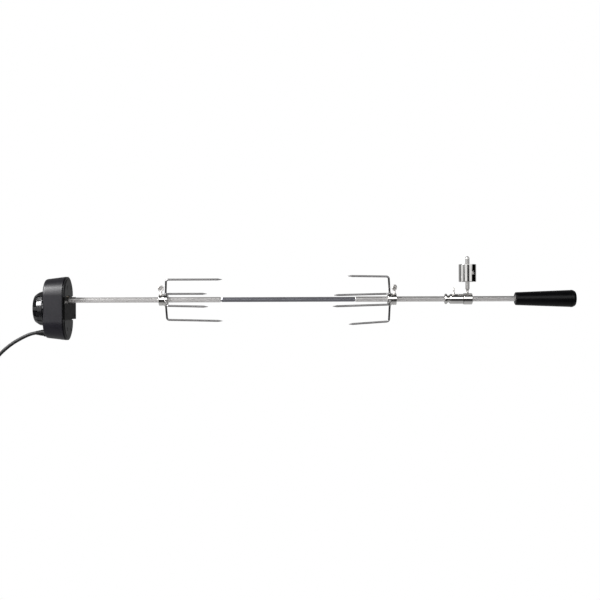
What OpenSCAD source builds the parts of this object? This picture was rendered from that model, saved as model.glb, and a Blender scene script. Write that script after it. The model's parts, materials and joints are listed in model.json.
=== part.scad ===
// Grill rotisserie kit: a geared drive motor on its bracket, a hexagonal spit in three screwed
// lengths, two four-pronged forks, a grooved support bushing, a counterweight and a handle.
// The spit's axis is X. The origin is on that axis, at the bracket's outer face.
// The motor is at -X, the handle at +X, and Z is up. All sizes are in millimetres.

/* [Spit] */
// Width of the hexagonal spit across its flats
hex_af = 9.5; // [8:0.1:10]
// Where the first and second lengths of spit meet
joint_1_x = 304; // [300:1:310]
// Where the second and third lengths of spit meet
joint_2_x = 572; // [560:1:600]

/* [Motor] */
// Height of the motor casing
case_h = 127; // [120:1:135]
// Width of the motor casing at its front
case_w = 76; // [74:1:84]
// Height of the casing's middle against the spit's axis
case_z = -16.5; // [-17:0.5:-16]
// Diameter of the drum cap at its base
drum_d = 72; // [68:1:74]
// Number of slots around the drum cap
drum_slots = 20; // [12:1:24]

/* [Forks] */
// Diameter of the prongs' wire
wire_d = 4; // [3.5:0.1:4.5]
// Length of a long prong
long_prong = 112; // [100:1:120]
// Length of a short prong
short_prong = 82; // [70:1:90]
// Distance of a long prong from the spit's axis, at its elbow
long_r = 42; // [38:1:46]
// Distance of a short prong from the spit's axis, at its elbow
short_r = 47; // [38:1:50]
// Place of the left fork's prongs along the spit
left_fork_x = 193; // [180:1:200]
// Place of the right fork's prongs along the spit
right_fork_x = 642; // [620:1:660]
// How far the clamped pieces are turned about the spit, towards the front
clamp_turn = 15; // [0:1:30]

/* [Counterweight] */
// Place of the counterweight's hub along the spit
hub_x = 797; // [795:1:850]
// Diameter of the weight
weight_d = 34.5; // [30:0.5:40]
// Height of the weight
weight_h = 35; // [30:1:38]
// How far the arm leans back from upright
arm_lean = 0; // [-30:1:30]

/* [Handle] */
// Where the handle's grip starts
grip_x = 892; // [885:1:900]
// Length of the grip
grip_l = 121; // [100:1:130]

/* [Cord] */
// Diameter of the mains cord
cord_d = 7; // [7:0.5:7]

/* [Hidden] */

$fn = 64;
eps = 0.01;
steel = [0.75, 0.76, 0.78];
black = [0.13, 0.13, 0.14];

// Motor casing
case_front = -5;
case_back = -45;
case_draft = 5;
case_edge = 6;
case_wall = 2.5;
channel_d = 3;
channel_top = 8;
channel_bottom = -40;
screw_y = 15;
screw_dz = 41;
recess_d = 8;
recess_deep = 1.8;

// Drum cap and motor
drum_l = 21;
drum_wall = 3;
drum_bore = drum_d - 2 * drum_wall;
slot_w = 2.4;
slot_l = 13.5;
can_d = 50;
can_front = -34;
can_back = -59;

// Gear train: two 12 to 36 reductions of the same module
module_mm = 0.8;
pinion_teeth = 12;
gear_teeth = 36;
gear_w = 6;
mesh_distance = module_mm * (pinion_teeth + gear_teeth) / 2;
front_gears_x = -17;
rear_gears_x = -27;
idler_z = case_z / 2;
idler_y = sqrt(pow(mesh_distance, 2) - pow(idler_z, 2));
to_idler = atan2(idler_z, idler_y);
to_motor = atan2(case_z - idler_z, -idler_y);
half_tooth = 180 / pinion_teeth;
shaft_d = 4;
plate_back = -20;
plate_t = 2;
post_places = [[-9, -48], [28, -48], [28, 7]];
post_pin_d = 3.2;

// Spit: the outer lengths share one turn of the hexagon, and the middle length has another
outer_turn = 38;
middle_turn = 0;
rod_start_x = -16.5;
collar_bore = 11.6;
socket_depth = 17;
stud_d = 6;
stud_l = 14;
spigot_d = 8;
rod_end_x = grip_x + 14;
spigot_l = 40;

// Forks
ring_d = 24;
ring_gap_d = 21.5;
collar_screw_dx = 8.5;
bend_r = 5;
arm_forward = 3;
long_flare = 0.7;
short_flare = 2.5;
left_droop = 0.7;
right_droop = -1.5;
left_skew = 8;
right_skew = 4;
point_l = 9;
point_r = 0.4;
arm_root = 9;

// Thumb screws
screw_d = 5;
head_t = 2.6;
fork_head = [12, 13];
bushing_head = [9, 10];

// Support bushing and counterweight
bushing_front = 751.5;
bushing_back = 788;
bushing_screw_x = 769;
hub_l = 18;
hub_d = 22.4;
arm_d = 8;
arm_top = 85;
arm_neck_d = 5;
arm_neck_top = 18;
weight_mid = 51.5;
weight_bore = 8.6;

// Cord: out of the gland, down in one arc to the coil, and from the coil down to the plug
gland_z = -65;
gland_l = 20;
CORD_ROUTE = [
    [-65, 0, -65], [-73, 0, -66.5], [-81, 0, -69], [-89, 0, -72.5], [-97, 0, -76.5],
    [-105, 0, -81], [-113, 0, -86], [-121.2, 0, -92], [-129.6, 0, -99], [-138, 0, -107],
    [-146.6, -0.5, -117], [-154.2, -1.5, -128], [-160.8, -3.5, -140], [-166.3, -6, -152],
    [-170.7, -9, -164], [-173.9, -11.5, -176], [-175.5, -13.5, -188], [-176, -14.5, -200],
    [-174.5, -14.6, -212], [-170, -14.6, -222.5], [-162.5, -14.6, -231.5]
];
TAIL_ROUTE = [
    [-168.7, 0, -295.9], [-175.5, 0, -300.5], [-181.5, 0, -306], [-186, 0, -313],
    [-188, 0, -321], [-188, 0, -326]
];
coil_x = -190;
coil_z = -259;
coil_mid_d = 78;
coil_w = 36.4;
coil_t = 14.4;
tie_w = 8;
tie_t = 1.2;
plug_top = -326;

// Turns a shape drawn in XY and raised along Z so that it runs along the spit's axis
module along_x() rotate([90, 0, 90]) children();

// A round rod or ring along X
module round_x(x0, x1, d, bore = 0) {
    translate([x0, 0, 0]) along_x() difference() {
        cylinder(h = x1 - x0, d = d);
        if (bore > 0) translate([0, 0, -1]) cylinder(h = x1 - x0 + 2, d = bore);
    }
}

// A solid of revolution about X from a list of [x, radius] points
module lathe_x(points) {
    rotate([0, 90, 0]) rotate_extrude()
        polygon([for (p = points) [p[1], p[0]]]);
}

// Hexagon with a corner at an angle of turn from +Y
module hexagon(af, turn) rotate(turn) circle(d = af / cos(30), $fn = 6);

// ---- Motor casing ----

// The casing's outline, a rectangle with fully rounded ends, at one depth
module case_slice(x, inset) {
    r = case_w / 2 - inset;
    half = (case_h - case_w) / 2;
    translate([x, 0, case_z]) along_x() linear_extrude(eps)
        for (s = [-1, 1]) translate([0, s * half]) circle(r = r, $fn = 72);
}

// The casing's tapered body with a rounded back edge, drawn in by wall on every side but the front
module case_body(wall) {
    span = case_front - case_back - case_edge;
    hull() {
        case_slice(case_front - eps, wall);
        for (a = [0, 30, 60, 90])
            case_slice(case_back + wall + case_edge * (1 - sin(a)),
                       wall + case_draft * span / (span + case_edge) + case_edge * (1 - cos(a)) * 0.8);
    }
}

module motor_housing() color(black) difference() {
    case_body(0);
    difference() {
        case_body(case_wall);
        for (y = [-1, 1], z = [-1, 1]) translate([0, y * screw_y, case_z + z * screw_dz])
            round_x(case_back, case_front, 7);
    }
    translate([0, 0, case_z]) round_x(case_back - 1, case_back + 4, can_d + 1);
    for (y = [-1, 1], z = [-1, 1]) translate([0, y * screw_y, case_z + z * screw_dz])
        round_x(case_front - 12, case_front + 1, 3);
    translate([0, 0, gland_z]) round_x(case_back - 1, case_back + 6, 9);
}

// A plate with fully rounded ends and a chamfered front edge
module stadium_plate(x0, x1, w, h, chamfer) {
    r = w / 2;
    half = (h - w) / 2;
    profile = [[x0, -r], [x1 - chamfer, -r], [x1, chamfer - r],
               [x1, r - chamfer], [x1 - chamfer, r], [x0, r]];
    translate([0, 0, case_z]) {
        translate([0, 0, -half]) linear_extrude(2 * half) polygon(profile);
        for (s = [-1, 1]) translate([0, 0, s * half])
            lathe_x([[x0, 0], [x0, r], [x1 - chamfer, r], [x1, r - chamfer], [x1, 0]]);
    }
}

module face_cover() color(black) difference() {
    union() {
        stadium_plate(case_front, 0, case_w, case_h, 1.2);
        round_x(-11, case_front + eps, 24);
        translate([0, idler_y, idler_z]) round_x(-9, case_front + eps, 8);
    }
    translate([-channel_d, -case_w, channel_bottom])
        cube([channel_d + 1, 2 * case_w, channel_top - channel_bottom]);
    round_x(-12, 1, 20);
    translate([0, idler_y, idler_z]) round_x(-10, -6, 3);
    for (y = [-1, 1], z = [-1, 1]) translate([0, y * screw_y, case_z + z * screw_dz]) {
        round_x(-recess_deep, 1, recess_d);
        round_x(-6, 1, 3.6);
    }
    for (y = bracket_screw_y) translate([0, y, bracket_screw_z]) round_x(-6, 1, bracket_screw_d);
}

module cover_screws() color(steel)
    for (y = [-1, 1], z = [-1, 1]) translate([0, y * screw_y, case_z + z * screw_dz])
        difference() {
            union() {
                round_x(-recess_deep, -0.3, 6.4);
                round_x(-16, -recess_deep, 3);
            }
            translate([-1, -0.5, -2.4]) cube([2, 1, 4.8]);
            translate([-1, -2.4, -0.5]) cube([2, 4.8, 1]);
        }

module drum_cap() color(black) difference() {
    translate([case_back, 0, case_z]) mirror([1, 0, 0]) lathe_x([
        [0, drum_bore / 2], [0, drum_d / 2], [11, drum_d / 2 - 3],
        for (a = [0:15:90]) [drum_l - 8 * (1 - sin(a)), drum_d / 2 - 12 + 7.6 * cos(a)],
        [drum_l + 0.8, 0], [drum_l - 2.6, 0],
        [drum_l - 2.6, drum_bore / 2 - 9], [drum_l - 8, drum_bore / 2 - 4.4]
    ]);
    for (i = [0:drum_slots - 1]) translate([0, 0, case_z]) rotate([(i + 0.5) * 360 / drum_slots, 0, 0])
        translate([case_back - slot_l - 2, drum_d / 2 - 10, -slot_w / 2]) cube([slot_l, 20, slot_w]);
}

// ---- Bracket ----

bracket_near = -34;
bracket_far = 59;
bracket_bottom = -38.5;
bracket_top = 6.5;
bolt_y = 49;
bolt_gap = 30;
bolt_hole = 6.4;
slot_for_spit = 14;
bracket_screw_y = [-30, -16];
bracket_screw_z = -4;
bracket_screw_d = 2.6;
bracket_head_d = 5.6;
bracket_sink = 1.9;

module mounting_bracket() color([0.05, 0.05, 0.05]) difference() {
    translate([-channel_d, bracket_near, bracket_bottom])
        cube([channel_d, bracket_far - bracket_near, bracket_top - bracket_bottom]);
    round_x(-4, 1, slot_for_spit);
    translate([-4, -slot_for_spit / 2, 0]) cube([5, slot_for_spit, 10]);
    for (z = [-1, 1]) translate([0, bolt_y, -16 + z * bolt_gap / 2]) round_x(-4, 1, bolt_hole);
    for (y = bracket_screw_y) translate([0, y, bracket_screw_z]) {
        round_x(-4, 1, 3.4);
        round_x(-bracket_sink, 1, bracket_head_d + 0.6);
    }
}

module bracket_screws() color(steel)
    for (y = bracket_screw_y) translate([0, y, bracket_screw_z]) difference() {
        union() {
            round_x(0.1 - bracket_sink, -0.1, bracket_head_d);
            round_x(-6, 0.1 - bracket_sink, bracket_screw_d);
        }
        translate([-0.9, -0.4, -2]) cube([2, 0.8, 4]);
    }

// ---- Motor and gears ----

module motor_can() color(steel) translate([0, 0, case_z]) lathe_x([
    [can_back, 0], [can_back, can_d / 2 - 2], [can_back + 2, can_d / 2], [can_front, can_d / 2],
    [can_front, 5.5], [can_front + 2, 5.5], [can_front + 2, 2.6], [can_back + 10, 2.6],
    [can_back + 10, 0]
]);

module motor_plate() color(steel) difference() {
    union() {
        translate([can_front, -18, case_z - 37]) cube([1.5, 36, 74]);
        translate([0, 0, case_z]) round_x(can_front, can_front + 1.5, 54);
    }
    translate([0, 0, case_z]) round_x(can_front - 1, can_front + 3, 12);
    for (y = [-1, 1], z = [-1, 1]) translate([0, y * screw_y, case_z + z * screw_dz])
        round_x(can_front - 1, can_front + 3, 16);
    translate([0, idler_y, idler_z]) round_x(can_front - 1, can_front + 3, 3);
}

// Spur gear in XY with straight-sided teeth and working clearance between them
module gear_shape(teeth, first) {
    root = module_mm * (teeth - 2.5) / 2;
    tip = module_mm * (teeth + 1.7) / 2;
    pitch = 360 / teeth;
    polygon([
        for (i = [0:teeth - 1], p = [[root, -0.30], [tip, -0.11], [tip, 0.11], [root, 0.30]])
            let (a = first + (i + p[1]) * pitch) [p[0] * cos(a), p[0] * sin(a)]
    ]);
}

module gear_x(x, teeth, first, bore) translate([x, 0, 0]) along_x() difference() {
    linear_extrude(gear_w) gear_shape(teeth, first);
    translate([0, 0, -1]) cylinder(h = gear_w + 2, d = bore);
}

module rotor_pinion() color("gold") translate([0, 0, case_z]) {
    gear_x(rear_gears_x, pinion_teeth, to_motor + 180 + half_tooth, 3);
    round_x(can_back + 12, rear_gears_x + gear_w, shaft_d);
}

module gearbox_plate() color(steel) difference() {
    translate([plate_back, -14, -53]) cube([plate_t, 45, 65]);
    translate([0, idler_y, idler_z]) round_x(plate_back - 1, plate_back + plate_t + 1, 13);
    for (p = post_places) translate([0, p[0], p[1]])
        round_x(plate_back - 1, plate_back + plate_t + 1, post_pin_d);
}

module gearbox_posts() color(steel) for (p = post_places) translate([0, p[0], p[1]]) {
    round_x(plate_back + plate_t, case_front, 5);
    round_x(plate_back - 2, plate_back + plate_t, post_pin_d);
}

module idler_axle() color(steel) translate([0, idler_y, idler_z]) round_x(can_front, -6, 3);

module idler_gear() color("ivory") translate([0, idler_y, idler_z]) difference() {
    union() {
        gear_x(rear_gears_x, gear_teeth, to_motor, 3);
        gear_x(front_gears_x, pinion_teeth, to_idler + 180 + half_tooth, 3);
        round_x(rear_gears_x + gear_w - eps, front_gears_x + eps, 7);
    }
    round_x(rear_gears_x - 1, front_gears_x + gear_w + 1, 3.1);
}

module drive_gear() color("ivory") gear_x(front_gears_x, gear_teeth, to_idler, 14);

module drive_socket() color(steel) difference() {
    union() {
        round_x(-17.5, -11, 14);
        round_x(-11, -3.3, 16);
    }
    translate([-socket_depth, 0, 0]) along_x() linear_extrude(20)
        hexagon(hex_af + 0.3, outer_turn);
}

module socket_bushing() color([0.72, 0.55, 0.3]) round_x(-11, -3, 20, 16.1);

// ---- Spit ----

// A length of hexagonal rod with chamfered ends
module hex_rod(x0, x1, turn) intersection() {
    translate([x0, 0, 0]) along_x() linear_extrude(x1 - x0) hexagon(hex_af, turn);
    rotate([turn + 17, 0, 0]) lathe_x([
        [x0, 0], [x0, hex_af / 2 - 0.6], [x0 + 1.4, hex_af / 2 + 0.8],
        [x1 - 1.4, hex_af / 2 + 0.8], [x1, hex_af / 2 - 0.6], [x1, 0]
    ]);
}

module spit_rod_drive() color(steel) union() {
    hex_rod(rod_start_x, joint_1_x, outer_turn);
    round_x(joint_1_x - 1, joint_1_x + stud_l, stud_d);
}

module spit_rod_middle() color(steel) difference() {
    union() {
        hex_rod(joint_1_x, joint_2_x, middle_turn);
        round_x(joint_2_x - 1, joint_2_x + stud_l, stud_d);
    }
    round_x(joint_1_x - 1, joint_1_x + stud_l + 2, stud_d + 0.1);
}

module spit_rod_handle() color(steel) difference() {
    union() {
        hex_rod(joint_2_x, rod_end_x, outer_turn);
        round_x(rod_end_x - 1, rod_end_x + spigot_l, spigot_d);
    }
    round_x(joint_2_x - 1, joint_2_x + stud_l + 2, stud_d + 0.1);
}

// ---- Handle ----

module handle_insert() color(steel) translate([grip_x, 0, 0]) lathe_x([
    [0.6, collar_bore / 2], [0.6, 8], [66, 8], [66, spigot_d / 2 + 0.06],
    [14.6, spigot_d / 2 + 0.06], [14.6, collar_bore / 2]
]);

module handle_grip() color(black) translate([grip_x, 0, 0]) lathe_x([
    [0, 8], [0, 11.4], [0.6, 12.6], [1.8, 13.2],
    [grip_l - 12.4, 17.2], [grip_l - 12, 16.8], [grip_l - 11, 16.8], [grip_l - 10.6, 17.3],
    for (a = [0:15:90]) [grip_l - 6 * (1 - sin(a)), 11.3 + 6 * cos(a)],
    [grip_l, 0], [68, 0], [68, 8]
]);

// ---- Forks ----

// The hole for a thumb screw
module screw_hole(x) translate([x, 0, 0]) rotate([clamp_turn, 0, 0]) cylinder(h = 20, d = screw_d + 0.1);

// Two rings on the spit. The prongs' ring is at s = 1 side of x, and the screw's ring is behind it
module fork_collar(x, s) color(steel) difference() {
    translate([x, 0, 0]) mirror([s < 0 ? 1 : 0, 0, 0]) lathe_x([
        [-12.5, collar_bore / 2], [-12.5, ring_d / 2 - 1.3], [-11.7, ring_d / 2 - 0.5],
        [-5.4, ring_d / 2 - 0.5], [-4.8, ring_gap_d / 2], [-4.2, ring_gap_d / 2],
        [-3.6, ring_d / 2], [4.2, ring_d / 2], [5, ring_d / 2 - 0.8], [5, collar_bore / 2]
    ]);
    screw_hole(x - s * collar_screw_dx);
}

// Angle of a route's run at point i, in the XZ plane
function ahead(route, i) = let (
    a = route[max(i - 1, 0)], b = route[min(i + 1, len(route) - 1)]
) atan2(b[2] - a[2], b[0] - a[0]);

// A round wire along a route in the XZ plane, with a radius for each of its points
module swept(route, radii, sides) {
    n = len(route);
    polyhedron(
        points = [
            for (i = [0:n - 1], k = [0:sides - 1])
                let (p = route[i], t = ahead(route, i), r = radii[i], a = k * 360 / sides)
                    [p[0] - sin(t) * r * cos(a), p[1] + r * sin(a), p[2] + cos(t) * r * cos(a)]
        ],
        faces = [
            [for (k = [0:sides - 1]) k],
            [for (k = [sides - 1:-1:0]) (n - 1) * sides + k],
            for (i = [0:n - 2], k = [0:sides - 1]) let (j = (k + 1) % sides)
                each [[i * sides + j, i * sides + k, (i + 1) * sides + k],
                      [i * sides + j, (i + 1) * sides + k, (i + 1) * sides + j]]
        ]
    );
}

// One bent and pointed prong that leaves the collar upwards and then runs along X
module prong(r, length, flare, lean) {
    across = r - bend_r;
    run = length - bend_r;
    route = [
        [0, 0, arm_root], [0, 0, across],
        for (a = [15:15:75]) [bend_r * (1 - cos(a)), 0, across + bend_r * sin(a)],
        for (l = [0, run - point_l, run])
            [bend_r * (1 - sin(flare)) + l * cos(flare), 0,
             across + bend_r * cos(flare) + l * sin(flare)]
    ];
    last = len(route) - 1;
    rotate([0, lean, 0])
        swept(route, [for (i = [0:last]) i == last ? point_r : wire_d / 2], 16);
}

// Two prongs on opposite sides of the collar. With skew the first leans further forwards than the second
module prong_pair(x, s, droop, skew, turn, r, length, flare) color(steel)
    translate([x, 0, 0]) rotate([clamp_turn, 0, 0]) mirror([s < 0 ? 1 : 0, 0, 0])
        rotate([0, s * droop, 0]) for (side = [0, 180]) let (lean = arm_forward + skew * cos(side))
            rotate([turn + side, 0, 0]) prong(r, length, flare + lean, lean);

// A spade-headed thumb screw whose tip is at the spit and whose head is turned about its own axis
module thumb_screw(x, head, neck, turn) color(steel) translate([x, 0, 0]) rotate([clamp_turn, 0, 0]) {
    tip = hex_af / cos(30) / 2 + 0.05;
    translate([0, 0, tip]) cylinder(h = neck - tip, d = screw_d);
    translate([0, 0, neck - 1]) cylinder(h = 3, d1 = screw_d, d2 = head_t);
    translate([0, 0, neck + head[1] / 2]) rotate([0, 0, turn]) rotate([90, 0, 0])
        translate([0, 0, -head_t / 2]) intersection() {
            scale([1, head[1] / head[0], 1]) cylinder(h = head_t, d = head[0]);
            translate([0, 0, head_t / 2]) rotate_extrude()
                polygon([[0, -1.3], [head[1] / 2 - 1.2, -1.3], [head[1] / 2, 0],
                         [head[1] / 2 - 1.2, 1.3], [0, 1.3]]);
        }
}

module left_fork_collar() fork_collar(left_fork_x, 1);
module left_fork_long_prongs()
    prong_pair(left_fork_x, 1, left_droop, 0, 0, long_r, long_prong, long_flare);
module left_fork_short_prongs()
    prong_pair(left_fork_x, 1, left_droop, left_skew, 90, short_r, short_prong, short_flare);
module left_fork_screw() thumb_screw(left_fork_x - collar_screw_dx, fork_head, 17, 8);

module right_fork_collar() fork_collar(right_fork_x, -1);
module right_fork_long_prongs()
    prong_pair(right_fork_x, -1, right_droop, right_skew, 90, long_r, long_prong, long_flare);
module right_fork_short_prongs()
    prong_pair(right_fork_x, -1, right_droop, 0, 0, short_r, short_prong, short_flare);
module right_fork_screw() thumb_screw(right_fork_x + collar_screw_dx, fork_head, 17, 35);

// ---- Support bushing ----

module spit_bushing() color(steel) difference() {
    lathe_x([
        [bushing_front, collar_bore / 2], [bushing_front, 9.4], [bushing_front + 1.2, 10.4],
        [bushing_front + 3.2, 10.4], [bushing_front + 6.6, 6.7], [bushing_front + 7.4, 6.7],
        [bushing_front + 10.4, 9.3], [bushing_front + 11.2, 9.8],
        [bushing_back - 0.8, 9.8], [bushing_back, 9.2], [bushing_back, collar_bore / 2]
    ]);
    screw_hole(bushing_screw_x);
}

module bushing_screw() thumb_screw(bushing_screw_x, bushing_head, 13.5, 78);

// ---- Counterweight ----

module leaning() translate([hub_x, 0, 0]) rotate([-arm_lean, 0, 0]) children();

module counterweight_hub() color(steel) difference() {
    lathe_x([
        [hub_x - hub_l / 2 + 0.4, collar_bore / 2], [hub_x - hub_l / 2 + 0.4, hub_d / 2 - 1],
        [hub_x - hub_l / 2 + 1.2, hub_d / 2], [hub_x + hub_l / 2 - 1, hub_d / 2],
        [hub_x + hub_l / 2, hub_d / 2 - 1], [hub_x + hub_l / 2, collar_bore / 2]
    ]);
    leaning() cylinder(h = 20, d = arm_neck_d + 0.1);
}

module counterweight_arm() color(steel) leaning() {
    translate([0, 0, 6]) cylinder(h = arm_neck_top - 6, d = arm_neck_d);
    rotate_extrude() polygon([
        [0, arm_neck_top], [arm_neck_d / 2, arm_neck_top], [arm_d / 2, arm_neck_top + 1.5],
        for (a = [0:15:90]) [arm_d / 2 * cos(a), arm_top - arm_d / 2 * (1 - sin(a))]
    ]);
}

module counterweight() color(steel) leaning() difference() {
    translate([0, 0, weight_mid]) rotate_extrude() polygon([
        [weight_bore / 2, -weight_h / 2], [weight_d / 2 - 1, -weight_h / 2],
        [weight_d / 2, -weight_h / 2 + 1], [weight_d / 2, weight_h / 2 - 1],
        [weight_d / 2 - 1, weight_h / 2], [weight_bore / 2, weight_h / 2]
    ]);
    translate([0, 0, weight_mid]) rotate([90, 0, 30]) cylinder(h = 20, d = screw_d + 0.1);
    translate([0, 0, weight_mid]) rotate([90, 0, 30]) translate([0, 0, weight_d / 2 - 2.4])
        cylinder(h = 4, d = 8);
}

module counterweight_screw() color(steel) leaning() translate([0, 0, weight_mid])
    rotate([90, 0, 30]) difference() {
        union() {
            translate([0, 0, arm_d / 2 + 0.05]) cylinder(h = weight_d / 2 - 6.4, d = screw_d);
            translate([0, 0, weight_d / 2 - 2.35]) cylinder(h = 1.8, d = 7.4);
        }
        translate([-4, -0.5, weight_d / 2 - 1.4]) cube([8, 1, 2]);
    }

// ---- Cord ----

module cord_gland() color(black) translate([case_back, 0, gland_z]) mirror([1, 0, 0]) lathe_x([
    [-5.5, 3.6], [-5.5, 4.4], [0, 4.4], [0, 7.6], [5, 7.6], [6, 7], [8.5, 6.2],
    [gland_l, 4.3], [gland_l, 3.6]
]);

module power_cord() color(black)
    swept(CORD_ROUTE, [for (p = CORD_ROUTE) cord_d / 2], 10);

module cord_tail() color(black)
    swept(TAIL_ROUTE, [for (p = TAIL_ROUTE) cord_d / 2], 10);

module cord_coil() color(black) translate([coil_x, 0, coil_z]) rotate([90, 0, 0])
    rotate_extrude() translate([coil_mid_d / 2, 0]) square([coil_t, coil_w], center = true);

// A strap around the coil's turns where the cord runs in
module cord_tie() color(black) translate([coil_x, 0, coil_z]) rotate([0, 45, 0])
    translate([0, 0, coil_mid_d / 2]) difference() {
        cube([tie_w, coil_w + 2 * tie_t, coil_t + 2 * tie_t], center = true);
        cube([tie_w + 2, coil_w, coil_t], center = true);
    }

module power_plug() color(black) translate([TAIL_ROUTE[len(TAIL_ROUTE) - 1][0], 0, plug_top]) {
    translate([0, 0, -14]) cylinder(h = 14, d1 = 12, d2 = 9);
    translate([0, 0, -34]) cylinder(h = 20, d = 26);
    for (s = [-1, 1]) translate([-0.75, s * 6.35 - 3.15, -50]) cube([1.5, 6.3, 17]);
    translate([5.5, 0, -52]) cylinder(h = 19, d = 4.8);
}

motor_housing();
face_cover();
cover_screws();
drum_cap();
mounting_bracket();
bracket_screws();
motor_can();
motor_plate();
rotor_pinion();
gearbox_plate();
gearbox_posts();
idler_axle();
idler_gear();
drive_gear();
drive_socket();
socket_bushing();
spit_rod_drive();
spit_rod_middle();
spit_rod_handle();
handle_insert();
handle_grip();
left_fork_collar();
left_fork_long_prongs();
left_fork_short_prongs();
left_fork_screw();
right_fork_collar();
right_fork_long_prongs();
right_fork_short_prongs();
right_fork_screw();
spit_bushing();
bushing_screw();
counterweight_hub();
counterweight_arm();
counterweight();
counterweight_screw();
cord_gland();
power_cord();
cord_coil();
cord_tail();
cord_tie();
power_plug();
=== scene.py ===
"""Looks of a grill rotisserie kit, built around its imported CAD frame.

Shapes are worked out in millimetres in the frame's own axes: X along the spit from the motor to the
handle, Z up. A piece is turned into metres when it is finished."""

import json
import math

import bmesh
import bpy
from mathutils import Matrix, Vector

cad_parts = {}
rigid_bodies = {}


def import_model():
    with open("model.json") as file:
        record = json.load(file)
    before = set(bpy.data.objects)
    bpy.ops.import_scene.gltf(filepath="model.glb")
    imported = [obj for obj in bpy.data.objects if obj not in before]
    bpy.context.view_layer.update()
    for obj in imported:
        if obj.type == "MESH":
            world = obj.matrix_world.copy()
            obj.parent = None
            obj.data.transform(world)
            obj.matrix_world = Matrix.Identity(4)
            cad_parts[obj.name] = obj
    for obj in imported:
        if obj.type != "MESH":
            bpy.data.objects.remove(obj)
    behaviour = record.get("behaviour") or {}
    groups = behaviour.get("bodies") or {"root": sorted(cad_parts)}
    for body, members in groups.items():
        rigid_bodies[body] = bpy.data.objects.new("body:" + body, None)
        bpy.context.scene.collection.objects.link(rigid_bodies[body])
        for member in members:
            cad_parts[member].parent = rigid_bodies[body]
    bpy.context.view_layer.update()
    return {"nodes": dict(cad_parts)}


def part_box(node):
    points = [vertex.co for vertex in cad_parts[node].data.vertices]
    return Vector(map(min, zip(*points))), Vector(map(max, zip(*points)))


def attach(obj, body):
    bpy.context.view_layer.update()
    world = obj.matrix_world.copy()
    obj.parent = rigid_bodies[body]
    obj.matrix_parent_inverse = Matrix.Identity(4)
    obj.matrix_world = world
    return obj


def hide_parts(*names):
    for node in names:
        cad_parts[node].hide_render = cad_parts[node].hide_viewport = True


for leftover in list(bpy.data.objects):
    bpy.data.objects.remove(leftover)
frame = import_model()
NODES = frame["nodes"]
MM = 0.001
scene = bpy.context.scene


def box_mm(node):
    low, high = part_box(node)
    return low / MM, high / MM


# ---- Camera: level with the spit, square to it ----

CAMERA_X = 0.462
CAMERA_DISTANCE = 1.9
CAMERA_RISE = -0.0012
CAMERA_ROLL = 0.2
LENS = 57


def add_camera():
    data = bpy.data.cameras.new("camera")
    data.lens = LENS
    data.clip_end = 30
    camera = bpy.data.objects.new("camera", data)
    scene.collection.objects.link(camera)
    camera.location = (CAMERA_X, -CAMERA_DISTANCE, CAMERA_RISE)
    camera.rotation_euler = (math.radians(90), math.radians(CAMERA_ROLL), 0)
    scene.camera = camera


add_camera()
scene.view_settings.view_transform = "Standard"

# ---- Cord: its route, its coil and its tail ----

CORD_D = 7
CORD_ROUTE = [
    (-65, 0, -65), (-73, 0, -66.5), (-81, 0, -69), (-89, 0, -72.5), (-97, 0, -76.5),
    (-105, 0, -81), (-113, 0, -86), (-121.2, 0, -92), (-129.6, 0, -99), (-138, 0, -107),
    (-146.6, -0.5, -117), (-154.2, -1.5, -128), (-160.8, -3.5, -140), (-166.3, -6, -152),
    (-170.7, -9, -164), (-173.9, -11.5, -176), (-175.5, -13.5, -188), (-176, -14.5, -200),
    (-174.5, -14.6, -212), (-170, -14.6, -222.5), (-162.5, -14.6, -231.5),
]
TAIL_ROUTE = [
    (-168.7, 0, -295.9), (-175.5, 0, -300.5), (-181.5, 0, -306), (-186, 0, -313),
    (-188, 0, -321), (-188, 0, -326),
]
COIL_X, COIL_Z = -190, -259
COIL_SIDE = 14.6
COIL_INNER_R = 35.4
COIL_OUTER_R = 42.6
COIL_JOIN_R = 38.9
COIL_START = 45
INNER_TURNS = 4
CLIMB = 0.25
COIL_TURNS = 6 + 105 / 360
STEPS_PER_TURN = 48


def ease(t):
    t = min(max(t, 0), 1)
    return t * t * (3 - 2 * t)


def coil_point(turn):
    """A point on the cord after that many turns: an inner layer, a climb, and an outer layer back."""
    climb_end = INNER_TURNS + CLIMB
    if turn < INNER_TURNS:
        side = COIL_SIDE * (2 * turn / INNER_TURNS - 1)
        radius = COIL_JOIN_R + (COIL_INNER_R - COIL_JOIN_R) * ease(turn / CLIMB)
    else:
        side = COIL_SIDE * min(1, (COIL_TURNS - turn) / (COIL_TURNS - climb_end))
        radius = COIL_INNER_R + (COIL_OUTER_R - COIL_INNER_R) * ease((turn - INNER_TURNS) / CLIMB)
    angle = math.radians(COIL_START - 360 * turn)
    return Vector((COIL_X + radius * math.cos(angle), side, COIL_Z + radius * math.sin(angle)))


def through(points, steps=4):
    """A smooth line through every point, as a Catmull-Rom spline."""
    points = [Vector(p) for p in points]
    padded = [2 * points[0] - points[1], *points, 2 * points[-1] - points[-2]]
    line = []
    for a, b, c, d in zip(padded, padded[1:], padded[2:], padded[3:]):
        for k in range(steps):
            t = k / steps
            line.append(0.5 * (2 * b + (c - a) * t + (2 * a - 5 * b + 4 * c - d) * t * t
                               + (3 * b - a - 3 * c + d) * t ** 3))
    return line + [points[-1]]


def cord_line():
    count = round(COIL_TURNS * STEPS_PER_TURN)
    coil = [coil_point(COIL_TURNS * i / count) for i in range(1, count)]
    return through(CORD_ROUTE) + coil + through(TAIL_ROUTE)


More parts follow.
